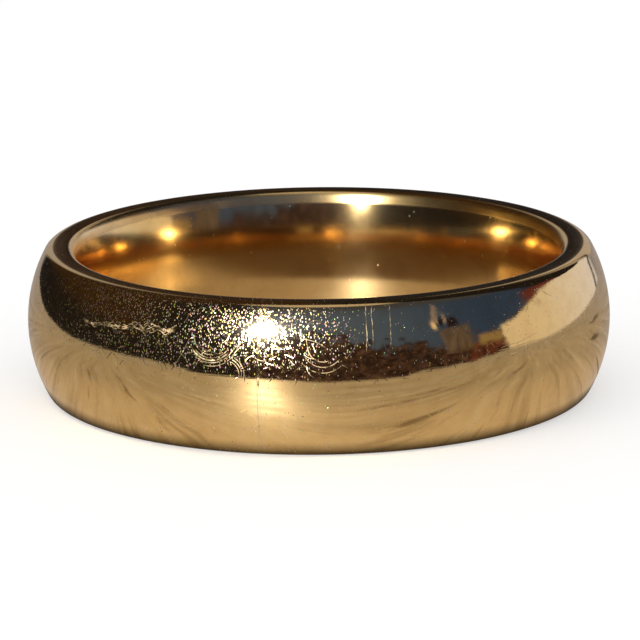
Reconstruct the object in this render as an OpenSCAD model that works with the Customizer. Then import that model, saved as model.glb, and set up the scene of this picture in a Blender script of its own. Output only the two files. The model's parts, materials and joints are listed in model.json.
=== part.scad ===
// Wedding band of yellow gold, domed outside and eased inside (a court, or comfort-fit, band).
// D-section stock is bent round into the shank, and one thin plate of hard solder closes its ends.
// The band's axis is Z and its centre is the origin. It lies on the rim at z = -band_w / 2.

/* [Ring size] */
// Width of the band along its axis
band_w = 6; // [4:0.5:7]
// Diameter of the bore at mid-width, which is the ring's size
bore_d = 19; // [15:0.1:23]
// Thickness of the wall at mid-width, its thickest point
wall_t = 2.25; // [2:0.05:2.6]

/* [Section] */
// How far the outside dome falls from its crest to the rim
dome_fall = 0.84; // [0.7:0.02:0.9]
// How far the bore opens from its land to the rim
comfort_fall = 0.42; // [0.36:0.02:0.6]
// Width of the straight land in the middle of the bore
land_w = 1; // [0.6:0.1:1.6]
// Width of the worn break on each edge of the rim, as a share of the rim
edge_share = 0.2; // [0.1:0.05:0.35]

/* [Solder joint] */
// Thickness of the solder between the shank's ends
solder_t = 0.12; // [0.06:0.02:0.3]
// Bearing of the joint round the band, from +X towards +Y
solder_bearing = 258.5; // [0:0.5:360]

/* [Hidden] */
$fn = 180;

bore_r = bore_d / 2;
outer_r = bore_r + wall_t;
half_w = band_w / 2;
half_land = land_w / 2;

// Dome: an arc through the crest and both outer corners of the rim
dome_r = (pow(half_w, 2) + pow(dome_fall, 2)) / (2 * dome_fall);
dome_centre = outer_r - dome_r;

// Easing of the bore: on each side, an arc that leaves the land smoothly and ends at the rim's inner corner
ease_width = half_w - half_land;
ease_r = (pow(ease_width, 2) + pow(comfort_fall, 2)) / (2 * comfort_fall);
ease_centre = bore_r + ease_r;

// Flat rim between the two corners, and the break on each
rim_outer = outer_r - dome_fall;
rim_inner = bore_r + comfort_fall;
edge_break = edge_share * (rim_outer - rim_inner);

// Each break runs from the flat to a point as far round the arc as it is along the flat
dome_angle = asin(half_w / dome_r) - edge_break / dome_r * 180 / PI;
ease_angle = asin(ease_width / ease_r) - edge_break / ease_r * 180 / PI;
break_overrun = 2;
dome_break_start = [rim_outer - edge_break, half_w];
ease_break_start = [rim_inner + edge_break, half_w];
dome_break_end = [dome_centre + dome_r * cos(dome_angle), dome_r * sin(dome_angle)];
ease_break_end = [ease_centre - ease_r * cos(ease_angle), half_land + ease_r * sin(ease_angle)];
dome_break_far = dome_break_start + break_overrun * (dome_break_end - dome_break_start);
ease_break_far = ease_break_start + break_overrun * (ease_break_end - ease_break_start);
clear = 1;

// Upper half of the straight-sided bar that the two arcs round off, from the bore outwards
function bar_top() = [
    [bore_r, ease_break_far.y],
    ease_break_far,
    ease_break_start,
    dome_break_start,
    dome_break_far,
    [outer_r + clear, dome_break_far.y]
];

// Everything outside the bore: the straight land and, on each side of it, the inside of an easing arc
module outside_bore() {
    translate([bore_r, -half_land]) square([wall_t, land_w]);
    for (side = [-1, 1])
        translate([ease_centre, side * half_land]) circle(r = ease_r);
}

// Section of the band: X is the radius and Y is the height along the band's axis
module section() {
    top = bar_top();
    last = len(top) - 1;
    bottom = [for (i = [last:-1:0]) [top[i].x, -top[i].y]];
    intersection() {
        polygon(concat(top, bottom));
        translate([dome_centre, 0]) circle(r = dome_r);
        outside_bore();
    }
}

module band() {
    rotate_extrude() section();
}

// Parallel-sided slot through the wall at the joint
module joint_slot() {
    rotate([0, 0, solder_bearing])
        translate([bore_r / 2, -solder_t / 2, -half_w - clear])
            cube([outer_r, solder_t, band_w + 2 * clear]);
}

// The bent bar of gold, which reaches almost all the way round
module shank() {
    color("goldenrod")
        difference() {
            band();
            joint_slot();
        }
}

// The solder that fills the gap between the shank's ends, dressed flush with it
module solder_seam() {
    color("darkgoldenrod")
        intersection() {
            band();
            joint_slot();
        }
}

shank();
solder_seam();
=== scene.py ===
import json
import math

import bpy
import numpy as np
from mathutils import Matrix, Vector


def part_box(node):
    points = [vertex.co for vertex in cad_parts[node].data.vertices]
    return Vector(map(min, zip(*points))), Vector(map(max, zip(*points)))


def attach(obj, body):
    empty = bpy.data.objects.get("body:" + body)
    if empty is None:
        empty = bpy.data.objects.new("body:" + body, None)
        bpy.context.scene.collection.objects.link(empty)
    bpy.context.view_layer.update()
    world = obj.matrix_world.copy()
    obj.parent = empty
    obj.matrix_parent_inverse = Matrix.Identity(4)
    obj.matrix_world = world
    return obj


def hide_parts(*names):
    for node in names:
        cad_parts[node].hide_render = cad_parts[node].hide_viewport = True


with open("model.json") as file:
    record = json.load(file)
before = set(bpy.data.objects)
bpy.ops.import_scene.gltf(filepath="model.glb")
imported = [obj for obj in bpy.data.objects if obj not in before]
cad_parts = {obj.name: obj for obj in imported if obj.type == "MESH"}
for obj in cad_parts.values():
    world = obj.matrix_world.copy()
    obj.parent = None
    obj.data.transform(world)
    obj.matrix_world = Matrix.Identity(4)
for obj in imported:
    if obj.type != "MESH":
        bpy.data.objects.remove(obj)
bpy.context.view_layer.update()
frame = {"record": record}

# Gold wedding band, worn and polished, lying on its rim. Lengths here are in millimetres, and MM turns
# them into Blender's metres. Bearings are in degrees round the band, from +X towards +Y, as in the CAD.
MM = 0.001
RNG = np.random.default_rng(17)

# ---------------------------------------------------------------- sizes
# From the frame
shank_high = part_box("shank")[1]
mounts = {m["name"]: m for m in frame["record"]["mounts"]}
OUTER_R = shank_high.x / MM
HALF_W = shank_high.z / MM
BORE_R = mounts["finger_bore"]["dims"]["r_mm"]
HALF_LAND = mounts["finger_bore"]["dims"]["length_mm"] / 2

# The frame doesn't carry these, so they repeat the values that the part is built from
DOME_FALL = 0.84
EASE_FALL = 0.42
SEAM_BEARING = 258.5
SEAM_T = 0.12

# Rounds on the two edges of the rim, worn truer than the small flats that the part has there
OUTER_ROUND = 0.44
INNER_ROUND = 0.35

# Real wear: how deep the solder lies below the gold in its middle and at its edges, and the pinhole in it
SOLDER_SINK, SOLDER_EDGE_SINK = 0.0008, 0.002
PINHOLE_HEIGHT, PINHOLE_SIZE, PINHOLE_DEPTH = 0.05, 0.05, 0.03
SMALL_DENTS = 46
WAVES, WAVE_SLOPE = 14, 0.0016

# Segments of the section, for one half of the band's width, and steps round the band and across the solder
N_DOME, N_OUTER, N_RIM, N_INNER, N_EASE, N_LAND = 30, 7, 3, 6, 12, 1
N_ROUND, N_SOLDER = 820, 9
CREASE = math.radians(38)

DOME_R = (HALF_W**2 + DOME_FALL**2) / (2 * DOME_FALL)
DOME_C = OUTER_R - DOME_R
EASE_WIDTH = HALF_W - HALF_LAND
EASE_R = (EASE_WIDTH**2 + EASE_FALL**2) / (2 * EASE_FALL)
EASE_C = BORE_R + EASE_R


# ---------------------------------------------------------------- section of the band
def arc(centre, radius, start, end, steps):
    """Points along an arc in the radius-height plane, leaving out the last, with their outward normals."""
    angles = [start + (end - start) * i / steps for i in range(steps)]
    return [((centre[0] + radius * math.cos(a), centre[1] + radius * math.sin(a)),
             (math.cos(a), math.sin(a))) for a in angles]


def line(start, end, normal, steps):
    """Points along a straight run, leaving out the last, with one normal."""
    return [((start[0] + (end[0] - start[0]) * i / steps, start[1] + (end[1] - start[1]) * i / steps), normal)
            for i in range(steps)]


def round_centre(arc_centre, arc_r, round_r, side):
    """Centre of a round that touches the flat rim and, from inside, a larger arc.

    Side is 1 if the round lies further out than the arc's centre, and -1 if it lies nearer the axis.
    """
    height = HALF_W - round_r
    reach = math.sqrt((arc_r - round_r)**2 - (height - arc_centre[1])**2)
    return arc_centre[0] + side * reach, height


def half_section():
    """From the crest of the dome up over the rim and down to the middle of the bore."""
    dome_c = (DOME_C, 0)
    ease_c = (EASE_C, HALF_LAND)
    outer_c = round_centre(dome_c, DOME_R, OUTER_ROUND, 1)
    inner_c = round_centre(ease_c, EASE_R, INNER_ROUND, -1)
    dome_end = math.atan2(outer_c[1], outer_c[0] - DOME_C)
    ease_start = math.atan2(inner_c[1] - HALF_LAND, inner_c[0] - EASE_C)
    up = math.pi / 2
    points = arc(dome_c, DOME_R, 0, dome_end, N_DOME)
    points += arc(outer_c, OUTER_ROUND, dome_end, up, N_OUTER)
    points += line((outer_c[0], HALF_W), (inner_c[0], HALF_W), (0, 1), N_RIM)
    points += arc(inner_c, INNER_ROUND, up, ease_start, N_INNER)
    points += arc(ease_c, EASE_R, ease_start, math.pi, N_EASE)
    points += line((BORE_R, HALF_LAND), (BORE_R, 0), (-1, 0), N_LAND)
    points.append(((BORE_R, 0), (-1, 0)))
    return points


def full_section():
    """The closed section as two arrays: points and outward normals."""
    top = half_section()
    low = [((p[0], -p[1]), (n[0], -n[1])) for p, n in reversed(top[1:-1])]
    both = top + low
    return np.array([p for p, n in both]), np.array([n for p, n in both])


# ---------------------------------------------------------------- wear that is real shape
class Dent:
    """A shallow dish in the outside, longer one way than the other, with a low lip round it."""

    LIP = 0.35

    def __init__(self, bearing, height, long, wide, depth, turn):
        self.bearing, self.height = bearing, height
        self.long, self.wide, self.depth, self.turn = long, wide, depth, math.radians(turn)

    def press(self, round_mm, height_mm):
        centre = math.radians(self.bearing) * OUTER_R
        girth = 2 * math.pi * OUTER_R
        du = (round_mm - centre + girth / 2) % girth - girth / 2
        dv = height_mm - self.height
        along = (du * math.cos(self.turn) + dv * math.sin(self.turn)) / self.long
        across = (-du * math.sin(self.turn) + dv * math.cos(self.turn)) / self.wide
        square = along**2 + across**2
        return -self.depth * (1 - self.LIP * square) * np.exp(-square)


def dents():
    found = [
        Dent(336.5, 0.95, 0.22, 0.2, 0.016, 0),
        Dent(335.5, 0.3, 0.2, 0.18, 0.013, 0),
        Dent(294.5, 2.15, 0.16, 0.3, 0.005, 12),
        Dent(222.0, -1.9, 0.9, 0.12, 0.008, -16),
    ]
    for _ in range(SMALL_DENTS):
        found.append(Dent(RNG.uniform(0, 360), RNG.uniform(-2.6, 2.6), RNG.uniform(0.12, 0.3),
                          RNG.uniform(0.1, 0.2), RNG.uniform(0.002, 0.006), RNG.uniform(0, 180)))
    return found


def waviness(bearing_rad, height_mm):
    """Hand-polished metal is never quite true: long, low waves, a whole number of each round the band."""
    total = np.zeros_like(bearing_rad)
    for _ in range(WAVES):
        count = RNG.integers(2, 26)
        pitch = RNG.uniform(3.0, 12.0)
        phase = RNG.uniform(0, 2 * math.pi)
        slope = 2 * math.pi * math.hypot(count / (2 * math.pi * OUTER_R), 1 / pitch)
        turns = count * bearing_rad + 2 * math.pi * height_mm / pitch + phase
        total += WAVE_SLOPE / slope * np.sin(turns)
    return total


# ---------------------------------------------------------------- meshes
def add_mesh(name, points_mm, faces, material):
    """A smooth mesh from points in millimetres, kept sharp along its creases."""
    mesh = bpy.data.meshes.new(name)
    mesh.from_pydata([tuple(p) for p in points_mm * MM], [], faces)
    mesh.validate()
    mesh.polygons.foreach_set("use_smooth", [True] * len(mesh.polygons))
    mesh.set_sharp_from_angle(angle=CREASE)
    mesh.materials.append(material)
    piece = bpy.data.objects.new(name, mesh)
    bpy.context.scene.collection.objects.link(piece)
    return piece


def sweep(section, bearings, name, material):
    """Closed bar with flat ends: section points (steps, ring, 2) at bearings (steps, ring), in radians."""
    steps, ring = bearings.shape
    radius, height = section[..., 0], section[..., 1]
    points = np.stack([radius * np.cos(bearings), radius * np.sin(bearings), height], -1).reshape(-1, 3)
    faces = []
    for i in range(steps - 1):
        a, b = i * ring, (i + 1) * ring
        faces += [(a + j, b + j, b + (j + 1) % ring, a + (j + 1) % ring) for j in range(ring)]
    faces.append(tuple(range(ring)))
    faces.append(tuple(reversed(range((steps - 1) * ring, steps * ring))))
    return add_mesh(name, points, faces, material)


def make_shank(material):
    """The bent bar: from one face of the solder all the way round to the other."""
    points, normals = full_section()
    seam = math.radians(SEAM_BEARING)
    gap = np.arcsin(SEAM_T / 2 / points[:, 0])
    share = np.linspace(0, 1, N_ROUND)[:, None]
    bearings = seam + gap + share * (2 * math.pi - 2 * gap)
    heights = np.broadcast_to(points[:, 1], bearings.shape)
    rim_r, fade = OUTER_R - DOME_FALL, 0.25
    outside = np.clip((points[:, 0] - rim_r) / fade, 0, 1)
    bore_share = 0.35
    lift = waviness(bearings, heights) * (bore_share + (1 - bore_share) * outside)
    for dent in dents():
        lift = lift + dent.press(bearings * OUTER_R, heights) * outside
    flat_rim = np.abs(normals[:, 1]) > 0.999
    lift = np.where(flat_rim, np.minimum(lift, 0), lift)
    section = points[None] + lift[..., None] * normals[None]
    return sweep(section, bearings, "gold_shank", material)


def make_seam(material):
    """The solder: the same section in a thin parallel plate, worn a little hollow, with one pinhole."""
    points, normals = full_section()
    seam = math.radians(SEAM_BEARING)
    across = np.linspace(-1, 1, N_SOLDER)[:, None]
    bearings = seam + np.arcsin(across * SEAM_T / 2 / points[:, 0])
    hollow = SOLDER_SINK + SOLDER_EDGE_SINK * np.abs(across)**6
    heights = np.broadcast_to(points[:, 1], bearings.shape)
    near_crest = points[:, 0] > OUTER_R - 0.3
    square = ((heights - PINHOLE_HEIGHT) / PINHOLE_SIZE)**2 + (across / 0.5)**2
    pinhole = PINHOLE_DEPTH * np.exp(-square) * near_crest
    section = points[None] - (hollow + pinhole)[..., None] * normals[None]
    return sweep(section, bearings, "solder_line", material)


# ---------------------------------------------------------------- node helpers
class Tree:
    """Short forms for building a material's nodes. Sockets and numbers can be mixed as inputs."""

    def __init__(self, material):
        material.use_nodes = True
        self.nodes = material.node_tree.nodes
        self.links = material.node_tree.links
        self.nodes.clear()

    def put(self, node, index, value):
        if value is None:
            return
        socket = node.inputs[index]
        if isinstance(value, bpy.types.NodeSocket):
            self.links.new(value, socket)
        else:
            socket.default_value = value

    def add(self, kind, inputs=None, **settings):
        node = self.nodes.new(kind)
        for key, value in settings.items():
            setattr(node, key, value)
        for key, value in (inputs or {}).items():
            self.put(node, key, value)
        return node

    def math(self, operation, a, b=None, clamp=False):
        node = self.add("ShaderNodeMath", operation=operation, use_clamp=clamp)
        self.put(node, 0, a)
        self.put(node, 1, b)
        return node.outputs[0]

    def plus(self, a, b, clamp=False):
        return self.math("ADD", a, b, clamp=clamp)

    def minus(self, a, b):
        return self.math("SUBTRACT", a, b)

    def times(self, a, b):
        return self.math("MULTIPLY", a, b)

    def over(self, a, b):
        return self.math("DIVIDE", a, b)

    def larger(self, a, b):
        return self.math("MAXIMUM", a, b)

    def size(self, value):
        return self.math("ABSOLUTE", value)

    def join(self, operation, a, b=None, scale=None):
        """Vector arithmetic on one or two vectors."""
        node = self.add("ShaderNodeVectorMath", {0: a, 1: b, "Scale": scale}, operation=operation)
        return node.outputs[0]

    def stretch(self, vector, scale, shift):
        """A vector times a scale plus a shift, part by part."""
        node = self.add("ShaderNodeVectorMath", {0: vector, 1: scale, 2: shift}, operation="MULTIPLY_ADD")
        return node.outputs[0]

    def turn(self, vector, angle):
        """A vector turned about Z."""
        node = self.add("ShaderNodeVectorRotate", {"Vector": vector, "Angle": angle}, rotation_type="Z_AXIS")
        return node.outputs[0]

    def length(self, x, y):
        return self.math("SQRT", self.plus(self.times(x, x), self.times(y, y)))

    def step(self, value, low, high, to_low=0.0, to_high=1.0):
        """Smooth change from to_low to to_high as value goes from low to high."""
        node = self.add("ShaderNodeMapRange", interpolation_type="SMOOTHSTEP")
        for i, v in enumerate((value, low, high, to_low, to_high)):
            self.put(node, i, v)
        return node.outputs[0]

    def window(self, value, low, high, soft):
        """1 between low and high and 0 beyond them, with each change spread over twice soft."""
        rise = self.step(value, low - soft, low + soft)
        fall = self.step(value, high - soft, high + soft, 1.0, 0.0)
        return self.times(rise, fall)

    def mix(self, a, b, share):
        """Blend of two colours, which go in at sockets 6 and 7."""
        node = self.add("ShaderNodeMix", data_type="RGBA", clamp_factor=True)
        self.put(node, 0, share)
        self.put(node, 6, a)
        self.put(node, 7, b)
        return node.outputs[2]

    def vector(self, x, y, z):
        node = self.add("ShaderNodeCombineXYZ")
        for i, value in enumerate((x, y, z)):
            self.put(node, i, value)
        return node.outputs[0]

    def noise(self, vector, scale, detail=2.0, roughness=0.5):
        node = self.add("ShaderNodeTexNoise", {"Vector": vector, "Scale": scale, "Detail": detail,
                                               "Roughness": roughness})
        return node.outputs[0]


def rgb(r, g, b):
    return (r, g, b, 1.0)


# ---------------------------------------------------------------- gold
def band_coordinates(t):
    """Where a place is, in millimetres round the band from the solder and up it, and as a plain position.

    The last value is 1 on the outside and 0 in the bore.
    """
    object_place = t.add("ShaderNodeTexCoord").outputs["Object"]
    place = t.join("SCALE", object_place, scale=1 / MM)
    parts = t.add("ShaderNodeSeparateXYZ", {0: t.turn(place, math.radians(-SEAM_BEARING))})
    along_seam, across_seam, height = parts.outputs
    round_mm = t.times(t.math("ARCTAN2", across_seam, along_seam), OUTER_R)
    outside = t.step(t.length(along_seam, across_seam), 10.7, 10.95)
    return round_mm, height, place, outside


def scratch_field(t, u, v, cell, width, length, seed, bend=0.0):
    """One scratch in each cell, at a random angle: how far in it a place is, and the scratch's own colour."""
    flat = t.vector(t.over(u, cell), t.plus(t.over(v, cell), seed * 7.31), 0.0)
    cells = t.add("ShaderNodeTexVoronoi", {"Vector": flat, "Scale": 1.0, "Randomness": 1.0},
                  voronoi_dimensions="2D", feature="F1")
    chance = t.add("ShaderNodeSeparateColor", {0: cells.outputs["Color"]})
    local = t.join("SUBTRACT", flat, cells.outputs["Position"])
    spun = t.turn(local, t.times(chance.outputs[0], 2 * math.pi))
    parts = t.add("ShaderNodeSeparateXYZ", {0: spun})
    along, off = parts.outputs[0], parts.outputs[1]
    if bend:
        off = t.minus(off, t.times(t.times(along, along), bend))
    reach = t.times(chance.outputs[1], length / cell)
    line_mask = t.step(t.size(off), 0.0, width / cell, 1.0, 0.0)
    end_mask = t.step(t.size(along), t.times(reach, 0.6), reach, 1.0, 0.0)
    weight = t.step(chance.outputs[2], 0.15, 1.0, 0.0, 1.0)
    return t.times(t.times(line_mask, end_mask), weight), cells.outputs["Color"]


def arc_mark(t, u, v, centre, radius, start, end, width):
    """Part of a circle, from one angle to another in degrees, anticlockwise."""
    du, dv = t.minus(u, centre[0]), t.minus(v, centre[1])
    away = t.length(du, dv)
    line_mask = t.step(t.size(t.minus(away, radius)), 0.0, width, 1.0, 0.0)
    middle, half = math.radians((start + end) / 2), math.radians((end - start) / 2)
    facing = t.plus(t.times(du, math.cos(middle)), t.times(dv, math.sin(middle)))
    cosine = t.over(facing, t.plus(away, 0.001))
    return t.times(line_mask, t.step(cosine, math.cos(half), math.cos(half * 0.7)))


def wave_mark(t, u, v, start, end, middle, slope, swing, pace, seed, width):
    """A wandering line from one distance round the band to another."""
    wander = t.noise(t.vector(t.times(u, pace), seed, 0.0), 1.0, 2.0, 0.5)
    rise = t.times(t.minus(wander, 0.5), swing)
    level = t.plus(t.times(t.minus(u, (start + end) / 2), slope), middle)
    off = t.minus(t.minus(v, level), rise)
    line_mask = t.step(t.size(off), 0.0, width, 1.0, 0.0)
    return t.times(line_mask, t.window(u, start, end, 0.25))


def upright_mark(t, u, v, place, lean, low, high, width):
    """A nearly upright line at one place round the band."""
    wander = t.noise(t.vector(t.times(v, 1.3), place, 5.0), 1.0, 3.0, 0.6)
    off = t.minus(t.minus(u, place), t.times(v, lean))
    off = t.minus(off, t.times(t.minus(wander, 0.5), 0.16))
    line_mask = t.step(t.size(off), 0.0, width, 1.0, 0.0)
    return t.times(line_mask, t.window(v, low, high, 0.3))


def chosen_marks(t, u, v):
    """The marks that stand out, each with how dull it is."""
    # Nested arcs left of the solder, and the shorter ones that run down from their end
    for radius, start, end, width in ((0.95, 205, 325, 0.06), (0.86, 215, 335, 0.03),
                                      (1.04, 225, 345, 0.035), (1.17, 250, 358, 0.03),
                                      (0.74, 190, 300, 0.025)):
        yield arc_mark(t, u, v, (-1.93, 1.78), radius, start, end, width), 0.42
    for radius, end, width in ((0.60, 75, 0.03), (0.70, 70, 0.03), (0.50, 85, 0.025)):
        yield arc_mark(t, u, v, (-1.25, 0.35), radius, -15, end, width), 0.5
    # A hook low on the left, and nested arcs right of the solder
    for radius, width in ((0.41, 0.05), (0.32, 0.03)):
        yield arc_mark(t, u, v, (-7.45, 0.02), radius, -75, 105, width), 0.5
    for radius, start, end in ((0.8, 200, 330), (1.02, 215, 320), (0.6, 170, 300)):
        yield arc_mark(t, u, v, (2.5, 1.5), radius, start, end, 0.03), 0.5
    # A braided scuff of thin strands
    for swing, pace, seed in ((1.0, 1.1, 0.0), (0.8, 1.5, 1.9), (1.2, 0.9, 3.6), (0.7, 1.9, 5.0),
                              (1.1, 1.2, 7.4)):
        yield wave_mark(t, u, v, -8.4, -3.6, 1.66, 0.07, swing, pace, seed, 0.036), 0.62
    # Long scratches, low on the left and on the far right
    yield wave_mark(t, u, v, -5.3, -2.9, -1.72, -0.24, 0.2, 0.6, 0.4, 0.03), 0.5
    yield wave_mark(t, u, v, 9.9, 13.3, 0.78, 0.03, 0.25, 0.5, 2.0, 0.025), 0.5
    yield wave_mark(t, u, v, 10.0, 11.9, 0.95, 0.12, 0.2, 0.7, 1.0, 0.02), 0.5
    # Upright lines below the rim, right of the middle
    for place, lean, low, width in ((4.1, 0.06, 1.3, 0.035), (4.36, 0.05, 1.5, 0.025),
                                    (5.05, 0.07, 1.35, 0.035)):
        yield upright_mark(t, u, v, place, lean, low, 2.9, width), 0.6


def facet_field(t, place, scale, share):
    """Scattered small cells, a share of them picked: the mask, and a colour for each."""
    cells = t.add("ShaderNodeTexVoronoi", {"Vector": place, "Scale": scale, "Randomness": 1.0}, feature="F1")
    chance = t.add("ShaderNodeSeparateColor", {0: cells.outputs["Color"]})
    draw = t.plus(t.times(chance.outputs[0], 7.7), t.times(chance.outputs[2], 5.3))
    picked = t.math("LESS_THAN", t.math("FRACT", draw), share)
    mask = t.times(picked, t.step(cells.outputs["Distance"], 0.3, 0.55, 1.0, 0.0))
    return mask, cells.outputs["Color"]


class Wear:
    """What the marks add up to: how worn a place is, how rough, which way it is tipped, and its hue."""

    def __init__(self, t):
        self.t = t
        self.worn = t.times(0.0, 0.0)
        self.rough = t.times(0.0, 0.0)
        self.tip = t.vector(0.0, 0.0, 0.0)
        self.hue = t.mix(rgb(0.5, 0.5, 0.5), rgb(0.5, 0.5, 0.5), 0.0)

    def take(self, mask, colour, tilt, rough):
        """Adds a mark whose random colour also says which way it tips the surface, mostly up or down."""
        t = self.t
        lean = t.stretch(colour, (1.0, 1.0, 2.0), (-0.5, -0.5, -1.0))
        self.tip = t.join("ADD", self.tip, t.join("SCALE", lean, scale=t.times(mask, tilt)))
        self.hue = t.mix(self.hue, colour, mask)
        self.worn = t.larger(self.worn, mask)
        self.rough = t.larger(self.rough, t.times(mask, rough))


# Scratches at all angles, from long to tiny: cell, width, length, seed and bend, then weight and dullness
SCRATCHES = (
    ((2.6, 0.026, 1.5, 1, 0.25), 0.5, 0.4),
    ((1.3, 0.022, 0.9, 2, 0.4), 0.55, 0.4),
    ((0.62, 0.02, 0.5, 3, 0.8), 0.6, 0.35),
    ((0.3, 0.02, 0.28, 4), 0.7, 0.3),
)
# Facets, which are tiny flats left by knocks: stretch up the band, scale, share, tilt and dullness
FACETS = (
    (1.0, 24.0, 0.15, 0.08, 0.14),
    (0.45, 22.0, 0.42, 0.05, 0.33),
    (1.0, 17.0, 0.05, 0.7, 0.2),
)


def all_wear(t, u, v, place, outside, patches):
    """Marks of every kind. They crowd the upper left of the front, and the bore has hardly any."""
    wear = Wear(t)
    busy = t.times(t.window(u, -9.5, 3.0, 2.5), t.step(v, 0.0, 1.2, 0.1, 1.0))
    busy = t.times(t.larger(busy, 0.08), t.step(patches, 0.3, 0.6, 0.5, 1.0))
    busy = t.times(busy, t.larger(outside, 0.05))

    # The marks that stand out, broken up along their length
    chosen = dullness = t.times(0.0, 0.0)
    for mark, dulling in chosen_marks(t, u, v):
        chosen = t.larger(chosen, mark)
        dullness = t.larger(dullness, t.times(mark, dulling))
    breaks = t.add("ShaderNodeTexNoise", {"Vector": place, "Scale": 3.5, "Detail": 4.0, "Roughness": 0.8})
    kept = t.times(t.step(breaks.outputs[0], 0.36, 0.6, 0.3, 1.0), outside)
    chosen = t.times(chosen, kept)
    wear.take(chosen, breaks.outputs["Color"], 0.2, 0.0)

    for size, weight, dulling in SCRATCHES:
        mask, colour = scratch_field(t, u, v, *size)
        keep = t.times(t.step(busy, 0.0, 0.3, 0.25, 1.0), t.times(outside, weight))
        wear.take(t.times(mask, keep), colour, 0.35, dulling)

    for stretch, scale, share, tilt, dulling in FACETS:
        where = t.join("MULTIPLY", place, (1.0, 1.0, stretch))
        mask, colour = facet_field(t, where, scale, t.times(busy, share))
        wear.take(t.times(mask, t.minus(1.0, chosen)), colour, tilt, dulling)
    wear.rough = t.larger(wear.rough, t.times(dullness, kept))
    return wear


def gold_material(name, base, dull, rough):
    """Polished gold with wear: fine lines round it, scratches at all angles, facets and duller patches."""
    material = bpy.data.materials.new(name)
    t = Tree(material)
    u, v, place, outside = band_coordinates(t)
    inside = t.minus(1.0, outside)
    patches = t.noise(place, 0.55, 3.0, 0.55)
    wear = all_wear(t, u, v, place, outside, patches)

    # Fine lines that run round the band, and a slight unevenness. The marks then tip the surface
    hair = t.noise(t.vector(t.times(u, 0.3), t.times(v, 30.0), 0.0), 1.0, 2.0, 0.6)
    height = t.plus(t.times(hair, 0.16), t.times(t.noise(place, 7.0, 3.0, 0.6), 0.10))
    bump = t.add("ShaderNodeBump", {"Strength": 1.0, "Distance": 0.0035 * MM, "Height": height}).outputs[0]
    normal = t.join("NORMALIZE", t.join("ADD", bump, wear.tip))

    # Colour: broad tone, then paler metal with a play of hues where it is marked
    colour = t.mix(base, dull, t.step(t.noise(place, 1.6, 3.0, 0.6), 0.35, 0.75))
    hue = t.stretch(wear.hue, (0.9, 0.9, 0.9), (0.3, 0.2, 0.0))
    colour = t.mix(colour, hue, t.times(wear.worn, 0.7))

    # Roughness: duller in the bore, and most of all where the bore meets the rim
    brink = t.times(t.window(t.size(v), 2.5, 2.93, 0.06), inside)
    roughness = t.step(patches, 0.3, 0.75, rough, rough + 0.03)
    roughness = t.plus(roughness, t.times(inside, 0.065))
    roughness = t.plus(t.plus(roughness, t.times(brink, 0.16)), wear.rough, clamp=True)

    # The bore keeps the lines that finishing left round it, so it shines in streaks up and down
    brushed = t.add("ShaderNodeTangent", direction_type="RADIAL", axis="Z").outputs[0]
    surface = t.add("ShaderNodeBsdfPrincipled", {
        "Base Color": colour, "Metallic": 1.0, "Roughness": roughness, "Normal": normal,
        "Anisotropic": t.step(outside, 0.0, 1.0, 0.7, 0.0), "Tangent": brushed,
        "Coat Roughness": t.step(hair, 0.2, 0.8, 0.17, 0.24), "Coat Normal": bump})
    surface.inputs["Anisotropic Rotation"].default_value = 0.25
    surface.inputs["Coat Weight"].default_value = 0.12
    surface.inputs["Coat IOR"].default_value = 1.8
    t.add("ShaderNodeOutputMaterial", {"Surface": surface.outputs[0]})
    return material


# ---------------------------------------------------------------- stage
# The gold is a mirror, so most of what is seen on it is the place round it. Two hidden things stand in for
# that place and show up in reflections only: a tan board under the band, and a large tent round it.
# Azimuth 0 is towards the camera (-Y) and 90 is to the right (+X). Both angles are in degrees.
TENT_R, TENT_SEGMENTS, TENT_RINGS = 1500, 96, 48
FLOOR_R = 3000
BOARD_X, BOARD_Y = (-50, 75), (-27.5, 60)
BOARD_LIFT, BOARD_STEPS = 0.02, 60
KEY_AZIMUTH, KEY_ELEVATION = -22.1, 27.4


class TentView:
    """Azimuth and elevation of a place on the tent, and the textures that the things painted on it share."""

    def __init__(self, t):
        self.t = t
        direction = t.join("NORMALIZE", t.add("ShaderNodeTexCoord").outputs["Object"])
        parts = t.add("ShaderNodeSeparateXYZ", {0: direction})
        towards_camera = t.times(parts.outputs[1], -1.0)
        self.azimuth = t.times(t.math("ARCTAN2", parts.outputs[0], towards_camera), 180 / math.pi)
        self.elevation = t.times(t.math("ARCSINE", parts.outputs[2]), 180 / math.pi)
        self.ragged = t.noise(direction, 11.0, 5.0, 0.6)
        self.leaves = t.noise(direction, 30.0, 6.0, 0.75)
        drawn_out = t.vector(t.times(self.azimuth, 0.5), t.times(self.elevation, 0.16), 0.0)
        self.wisps = t.noise(drawn_out, 1.0, 4.0, 0.7)

    def patch(self, across, up):
        """1 within a range of azimuth and one of elevation. Each range is its low, high and softness."""
        return self.t.times(self.t.window(self.azimuth, *across), self.t.window(self.elevation, *up))


def paint_sky(t, view, colour):
    """A cool sky, from a slanting left edge to the far right."""
    azimuth, elevation = view.azimuth, view.elevation
    sky = t.mix(rgb(0.07, 0.11, 0.24), rgb(0.028, 0.052, 0.15), t.step(azimuth, 10.0, 75.0))
    sky = t.mix(sky, rgb(0.05, 0.06, 0.10), t.step(elevation, 34.0, 52.0))
    slant = t.plus(azimuth, elevation)
    mask = t.times(t.step(slant, 8.0, 24.0), t.step(azimuth, 92.0, 108.0, 1.0, 0.0))
    return t.mix(colour, sky, t.times(mask, t.step(elevation, 0.0, 6.0)))


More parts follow.
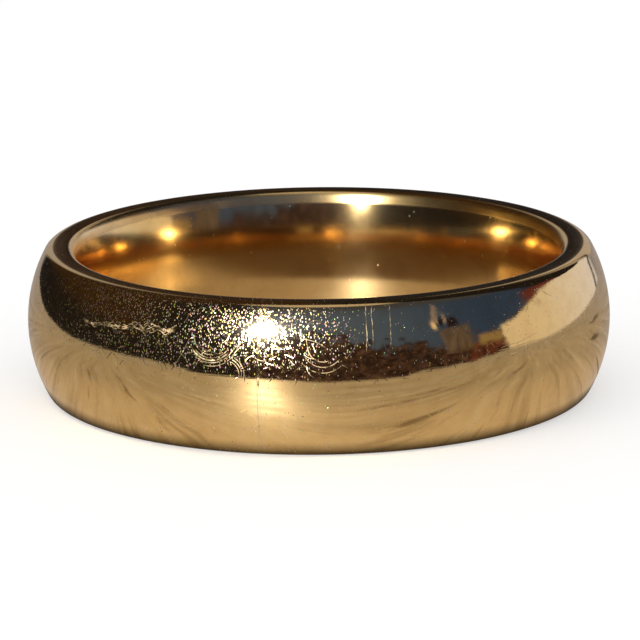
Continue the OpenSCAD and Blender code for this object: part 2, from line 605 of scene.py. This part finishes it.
def paint_trees(t, view, colour):
    """A ragged tree line, with a red and a yellow clump towards the card."""
    top = t.plus(t.times(view.ragged, 44.0), -9.0)
    top = t.plus(top, t.step(view.azimuth, 6.0, 26.0, 11.0, 0.0))
    top = t.plus(top, t.step(view.azimuth, 38.0, 48.0, 0.0, -4.0))
    top = t.plus(top, t.step(view.azimuth, 56.0, 92.0, 0.0, 9.0))
    below = t.step(t.minus(view.elevation, top), -0.8, 0.8, 1.0, 0.0)
    trees = t.mix(rgb(0.011, 0.007, 0.008), rgb(0.17, 0.10, 0.09), t.step(view.leaves, 0.44, 0.70))
    red_clump = t.times(t.window(view.azimuth, 61.0, 78.0, 3.0), t.step(view.wisps, 0.45, 0.6, 0.1, 0.7))
    trees = t.mix(trees, rgb(0.16, 0.04, 0.025), red_clump)
    yellow_clump = view.patch((65.0, 76.0, 1.5), (4.0, 11.0, 2.0))
    trees = t.mix(trees, rgb(0.30, 0.23, 0.13), t.times(yellow_clump, 0.8))
    return t.mix(colour, trees, t.times(below, t.window(view.azimuth, -26.0, 96.0, 6.0)))


def paint_hut(t, view, colour):
    """A brown hut with a leaning pale spire on it, a lamp on one side and a dark window on the other."""
    azimuth, elevation = view.azimuth, view.elevation
    grain = t.noise(t.vector(azimuth, t.times(elevation, 0.12), 4.0), 0.9, 3.0, 0.6)
    streaks = t.step(grain, 0.3, 0.7, 0.3, 1.0)
    boards = t.mix(rgb(0.03, 0.02, 0.015), rgb(0.17, 0.13, 0.11), streaks)
    hut = view.patch((50.0, 63.0, 1.5), (3.0, 20.0, 2.0))
    colour = t.mix(colour, boards, t.times(hut, 0.85))
    half = t.step(elevation, 24.0, 43.0, 3.0, 0.3)
    lean = t.plus(t.times(elevation, 0.286), 43.4)
    off = t.minus(t.size(t.minus(azimuth, lean)), half)
    spire = t.times(t.step(off, -0.5, 0.5, 1.0, 0.0), t.window(elevation, 25.0, 41.5, 1.0))
    colour = t.mix(colour, rgb(0.34, 0.29, 0.31), t.times(spire, streaks))
    lamp = view.patch((47.4, 49.6, 0.5), (21.0, 26.0, 1.5))
    colour = t.mix(colour, rgb(0.80, 0.66, 0.55), lamp)
    hole = view.patch((53.3, 59.5, 0.6), (20.5, 27.0, 1.0))
    return t.mix(colour, rgb(0.018, 0.012, 0.014), hole)


def paint_card(t, view, colour):
    """A pale card with a ragged top and left side, dry twigs on its near corner and red above it."""
    azimuth, elevation = view.azimuth, view.elevation
    red = view.patch((95.0, 120.0, 3.0), (12.0, 23.5, 1.5))
    colour = t.mix(colour, rgb(0.11, 0.03, 0.028), red)
    top = t.plus(t.step(azimuth, 76.0, 104.0, 11.0, 16.5), t.times(view.ragged, 4.0))
    left = t.plus(73.5, t.times(view.ragged, 7.0))
    sides = t.times(t.step(t.minus(azimuth, left), -0.8, 0.8), t.step(azimuth, 150.0, 154.0, 1.0, 0.0))
    card = t.times(sides, t.step(t.minus(elevation, top), -1.0, 1.0, 1.0, 0.0))
    pale = t.mix(rgb(0.67, 0.61, 0.56), rgb(0.70, 0.71, 0.86), t.step(azimuth, 88.0, 130.0))
    twigs = t.times(t.step(view.wisps, 0.56, 0.66), view.patch((84.0, 106.0, 5.0), (9.0, 20.0, 3.0)))
    pale = t.mix(pale, rgb(0.20, 0.14, 0.08), t.times(twigs, 0.75))
    return t.mix(colour, pale, card)


def paint_behind(t, view, colour):
    """Behind the band: pale on both sides of a dark middle, from low to well up, and a stalk on the right."""
    azimuth, elevation = view.azimuth, view.elevation
    spin = t.size(azimuth)
    right = t.step(azimuth, 0.0, 1.0)
    left_tone = t.mix(rgb(0.26, 0.25, 0.29), rgb(0.37, 0.34, 0.32), t.step(elevation, -9.0, -2.0))
    right_tone = t.mix(rgb(0.30, 0.29, 0.30), rgb(0.44, 0.39, 0.36), t.step(elevation, -1.0, 4.0))
    tone = t.mix(left_tone, right_tone, right)
    tone = t.mix(tone, rgb(0.24, 0.24, 0.27), t.step(spin, 173.0, 177.0))
    reach = t.plus(t.times(right, 7.0), t.step(elevation, -9.0, -4.0, 9.0, 0.0))
    behind = t.step(t.plus(spin, reach), 156.0, 163.0)
    core = t.times(t.step(spin, 173.0, 176.0), t.step(elevation, 1.0, 8.0))
    behind = t.times(behind, t.minus(1.0, core))
    behind = t.times(behind, t.step(elevation, 22.0, 40.0, 1.0, 0.0))
    colour = t.mix(colour, tone, behind)
    stalk_azimuth = t.plus(148.0, t.times(elevation, 0.55))
    stalk = t.step(t.size(t.minus(azimuth, stalk_azimuth)), 0.8, 2.2, 1.0, 0.0)
    stalk = t.times(stalk, t.step(elevation, -8.0, -3.0, 0.0, 0.9))
    return t.mix(colour, rgb(0.03, 0.034, 0.016), stalk)


def tent_material():
    """Dim surroundings, browner far left, with things painted over them in turn and a pale roof."""
    material = bpy.data.materials.new("tent")
    t = Tree(material)
    view = TentView(t)
    colour = t.mix(rgb(0.010, 0.009, 0.010), rgb(0.022, 0.019, 0.020), t.step(view.leaves, 0.4, 0.65))
    brown = t.times(t.step(view.azimuth, -62.0, -88.0), t.step(view.elevation, 4.0, 16.0))
    colour = t.mix(colour, rgb(0.045, 0.024, 0.010), t.times(brown, t.step(view.leaves, 0.3, 0.6)))
    for paint in (paint_sky, paint_trees, paint_hut, paint_card, paint_behind):
        colour = paint(t, view, colour)
    colour = t.mix(colour, rgb(0.50, 0.45, 0.41), t.step(view.elevation, 72.0, 78.0))
    light = t.add("ShaderNodeEmission", {"Color": colour, "Strength": 1.0})
    t.add("ShaderNodeOutputMaterial", {"Surface": light.outputs[0]})
    material.cycles.emission_sampling = "NONE"
    return material


def board_material():
    """Weathered wood with its grain along X, brighter and warmer near the band with painted light thrown off
    the gold. Light from the key glances off it.
    """
    material = bpy.data.materials.new("board")
    t = Tree(material)
    place = t.add("ShaderNodeTexCoord").outputs["Object"]
    parts = t.add("ShaderNodeSeparateXYZ", {0: place})
    x = t.over(parts.outputs[0], MM)
    y = t.over(parts.outputs[1], MM)

    def distance_from(px, py):
        return t.length(t.minus(x, px), t.minus(y, py))

    wander = t.times(t.noise(t.vector(t.times(x, 0.06), t.times(y, 0.1), 2.0), 1.0), 5.0)
    row = t.plus(y, wander)
    broad = t.noise(t.vector(t.times(x, 0.03), t.times(row, 0.35), 0.0), 1.0, 3.0, 0.6)
    fine = t.noise(t.vector(t.times(x, 0.09), t.times(row, 1.5), 7.0), 1.0, 5.0, 0.7)
    cracks = t.noise(t.vector(t.times(x, 0.07), t.times(row, 0.9), 13.0), 1.0, 4.0, 0.65)
    reach = distance_from(0.0, 0.0)
    # Painted light: the glow is brighter and warmer near the band, as if thrown off the gold, and greyer
    # further out
    colour = t.mix(rgb(0.52, 0.425, 0.335), rgb(0.35, 0.305, 0.265), t.step(reach, 11.5, 18.0))
    colour = t.mix(colour, rgb(0.31, 0.29, 0.30), t.step(reach, 22.0, 45.0))
    colour = t.mix(colour, rgb(0.27, 0.215, 0.16), t.step(broad, 0.48, 0.68, 0.0, 0.55))
    colour = t.mix(colour, rgb(0.54, 0.49, 0.45), t.step(fine, 0.51, 0.68, 0.0, 0.6))
    colour = t.mix(colour, rgb(0.22, 0.17, 0.12), t.step(fine, 0.34, 0.47, 0.5, 0.0))
    colour = t.mix(colour, rgb(0.14, 0.095, 0.055), t.step(cracks, 0.58, 0.67, 0.0, 0.7))
    for spot_x, spot_y, size in ((19.0, 4.8, 1.7), (27.5, 13.5, 3.2)):
        spot = t.step(distance_from(spot_x, spot_y), 0.4 * size, size, 0.85, 0.0)
        colour = t.mix(colour, rgb(0.07, 0.05, 0.035), spot)

    # Inside the bore: the rim's shadow, the part the key reaches over it, and a pool of light off the gold
    throw = 2 * HALF_W / math.tan(math.radians(KEY_ELEVATION))
    away = math.radians(KEY_AZIMUTH + 180)
    lit_x, lit_y = throw * math.sin(away), -throw * math.cos(away)
    lit = t.step(distance_from(lit_x, lit_y), 9.6, 10.5, 1.0, 0.0)
    pool = t.step(distance_from(5.4, 5.4), 0.5, 3.6, 0.9, 0.0)
    inner = t.mix(rgb(0.085, 0.047, 0.02), rgb(0.33, 0.245, 0.165), lit)
    inner = t.mix(inner, rgb(0.95, 0.66, 0.34), pool)
    inner = t.mix(inner, rgb(0.06, 0.035, 0.015), t.step(cracks, 0.56, 0.7, 0.0, 0.5))
    colour = t.mix(inner, colour, t.step(reach, 10.2, 10.6))
    # Painted shade: the glow dims in a ring round the foot of the band, where it stands on the board
    shade = t.larger(t.step(reach, 10.9, 11.6, 0.1, 1.0), t.step(reach, 9.6, 10.3, 1.0, 0.1))
    light = t.add("ShaderNodeEmission", {"Color": colour, "Strength": shade})
    sheen = t.add("ShaderNodeBsdfAnisotropic", {"Roughness": t.step(fine, 0.3, 0.7, 0.40, 0.52)})
    sheen.inputs["Color"].default_value = rgb(0.085, 0.085, 0.09)
    both = t.add("ShaderNodeAddShader", {0: light.outputs[0], 1: sheen.outputs[0]})
    t.add("ShaderNodeOutputMaterial", {"Surface": both.outputs[0]})
    material.cycles.emission_sampling = "NONE"
    return material


def floor_material():
    material = bpy.data.materials.new("floor_white")
    t = Tree(material)
    place = t.add("ShaderNodeTexCoord").outputs["Object"]
    grain = t.noise(place, 900.0, 3.0, 0.6)
    roughness = t.step(grain, 0.3, 0.7, 0.75, 0.9)
    surface = t.add("ShaderNodeBsdfPrincipled", {"Roughness": roughness})
    surface.inputs["Base Color"].default_value = rgb(0.5, 0.5, 0.5)
    surface.inputs["Specular IOR Level"].default_value = 0.1
    surface.inputs["Emission Color"].default_value = rgb(1.0, 1.0, 1.0)
    surface.inputs["Emission Strength"].default_value = 0.5
    t.add("ShaderNodeOutputMaterial", {"Surface": surface.outputs[0]})
    material.cycles.emission_sampling = "NONE"
    return material


def only_in_reflections(thing):
    thing.visible_camera = False
    thing.visible_diffuse = False
    thing.visible_shadow = False
    thing.visible_transmission = False


def stage_mesh(name, points, faces, material):
    mesh = bpy.data.meshes.new(name)
    mesh.from_pydata([tuple(v * MM for v in p) for p in points], [], faces)
    mesh.materials.append(material)
    thing = bpy.data.objects.new(name, mesh)
    bpy.context.scene.collection.objects.link(thing)
    return thing


def make_floor():
    ring = [math.radians(a) for a in range(0, 360, 5)]
    points = [(FLOOR_R * math.cos(a), FLOOR_R * math.sin(a), -HALF_W) for a in ring]
    floor = stage_mesh("floor", points, [tuple(range(len(ring)))], floor_material())
    floor.visible_glossy = False


def make_board():
    """A plank whose front edge is uneven."""
    (x0, x1), (y0, y1) = BOARD_X, BOARD_Y
    height = -HALF_W + BOARD_LIFT
    points = []
    for i in range(BOARD_STEPS + 1):
        x = x0 + (x1 - x0) * i / BOARD_STEPS
        points.append((x, y0 + 1.2 * math.sin(0.21 * x) + 0.7 * math.sin(0.53 * x + 1), height))
    points += [(x1, y1, height), (x0, y1, height)]
    only_in_reflections(stage_mesh("board", points, [tuple(range(len(points)))], board_material()))


def make_tent():
    bpy.ops.mesh.primitive_uv_sphere_add(segments=TENT_SEGMENTS, ring_count=TENT_RINGS, radius=TENT_R * MM)
    tent = bpy.context.object
    tent.name = "tent"
    tent.data.materials.append(tent_material())
    only_in_reflections(tent)


def make_world():
    world = bpy.data.worlds.new("soft_light")
    bpy.context.scene.world = world
    world.use_nodes = True
    background = world.node_tree.nodes["Background"]
    background.inputs["Color"].default_value = rgb(1.0, 1.0, 1.0)
    background.inputs["Strength"].default_value = 1.04


def from_direction(azimuth, elevation, distance):
    """A place at an azimuth, an elevation and a distance from the middle of the band."""
    a, e = math.radians(azimuth), math.radians(elevation)
    return Vector((math.sin(a) * math.cos(e), -math.cos(a) * math.cos(e), math.sin(e))) * distance


def make_key():
    """A small hard light above the camera and to its left, for the glint and the scratches round it."""
    key = bpy.data.objects.new("key", bpy.data.lights.new("key", "SUN"))
    key.data.energy = 5.0
    key.data.angle = math.radians(1.0)
    key.data.color = (1.0, 0.97, 0.93)
    bpy.context.scene.collection.objects.link(key)
    key.location = from_direction(KEY_AZIMUTH, KEY_ELEVATION, 0.3)
    key.rotation_mode = "QUATERNION"
    key.rotation_quaternion = (-key.location).to_track_quat("-Z", "Y")
    key.visible_diffuse = False


# ---------------------------------------------------------------- camera
# Fitted to the outline and to both edges of the near rim in the photo. The distance and the lens are in
# millimetres, the elevation is in degrees and the roll in radians.
CAMERA_DISTANCE = 185.7
CAMERA_ELEVATION = 13.41
CAMERA_LENS = 258.25
CAMERA_ROLL = -0.0109
CAMERA_SHIFT = (0.0017, -0.0096)


def make_camera():
    camera = bpy.data.objects.new("camera", bpy.data.cameras.new("camera"))
    bpy.context.scene.collection.objects.link(camera)
    place = from_direction(0, CAMERA_ELEVATION, CAMERA_DISTANCE * MM)
    camera.location = place
    camera.rotation_euler = (math.radians(90 - CAMERA_ELEVATION), 0, 0)
    camera.rotation_euler.rotate_axis("Z", CAMERA_ROLL)
    camera.data.sensor_width = 36
    camera.data.lens = CAMERA_LENS
    camera.data.shift_x, camera.data.shift_y = CAMERA_SHIFT
    camera.data.clip_start, camera.data.clip_end = 0.005, 20
    bpy.context.scene.camera = camera


make_camera()
make_world()
make_floor()
make_board()
make_tent()
make_key()
gold = gold_material("worn_gold", rgb(0.95, 0.68, 0.30), rgb(0.88, 0.61, 0.26), 0.045)
solder = gold_material("solder_worn", rgb(0.90, 0.68, 0.34), rgb(0.82, 0.60, 0.29), 0.12)
shank = make_shank(gold)
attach(shank, "root")
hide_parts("shank")
seam = make_seam(solder)
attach(seam, "root")
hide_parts("solder_seam")

scene = bpy.context.scene
scene.view_settings.view_transform = "Standard"
scene.view_settings.look = "None"
scene.cycles.glossy_bounces = 12
scene.cycles.blur_glossy = 0.3
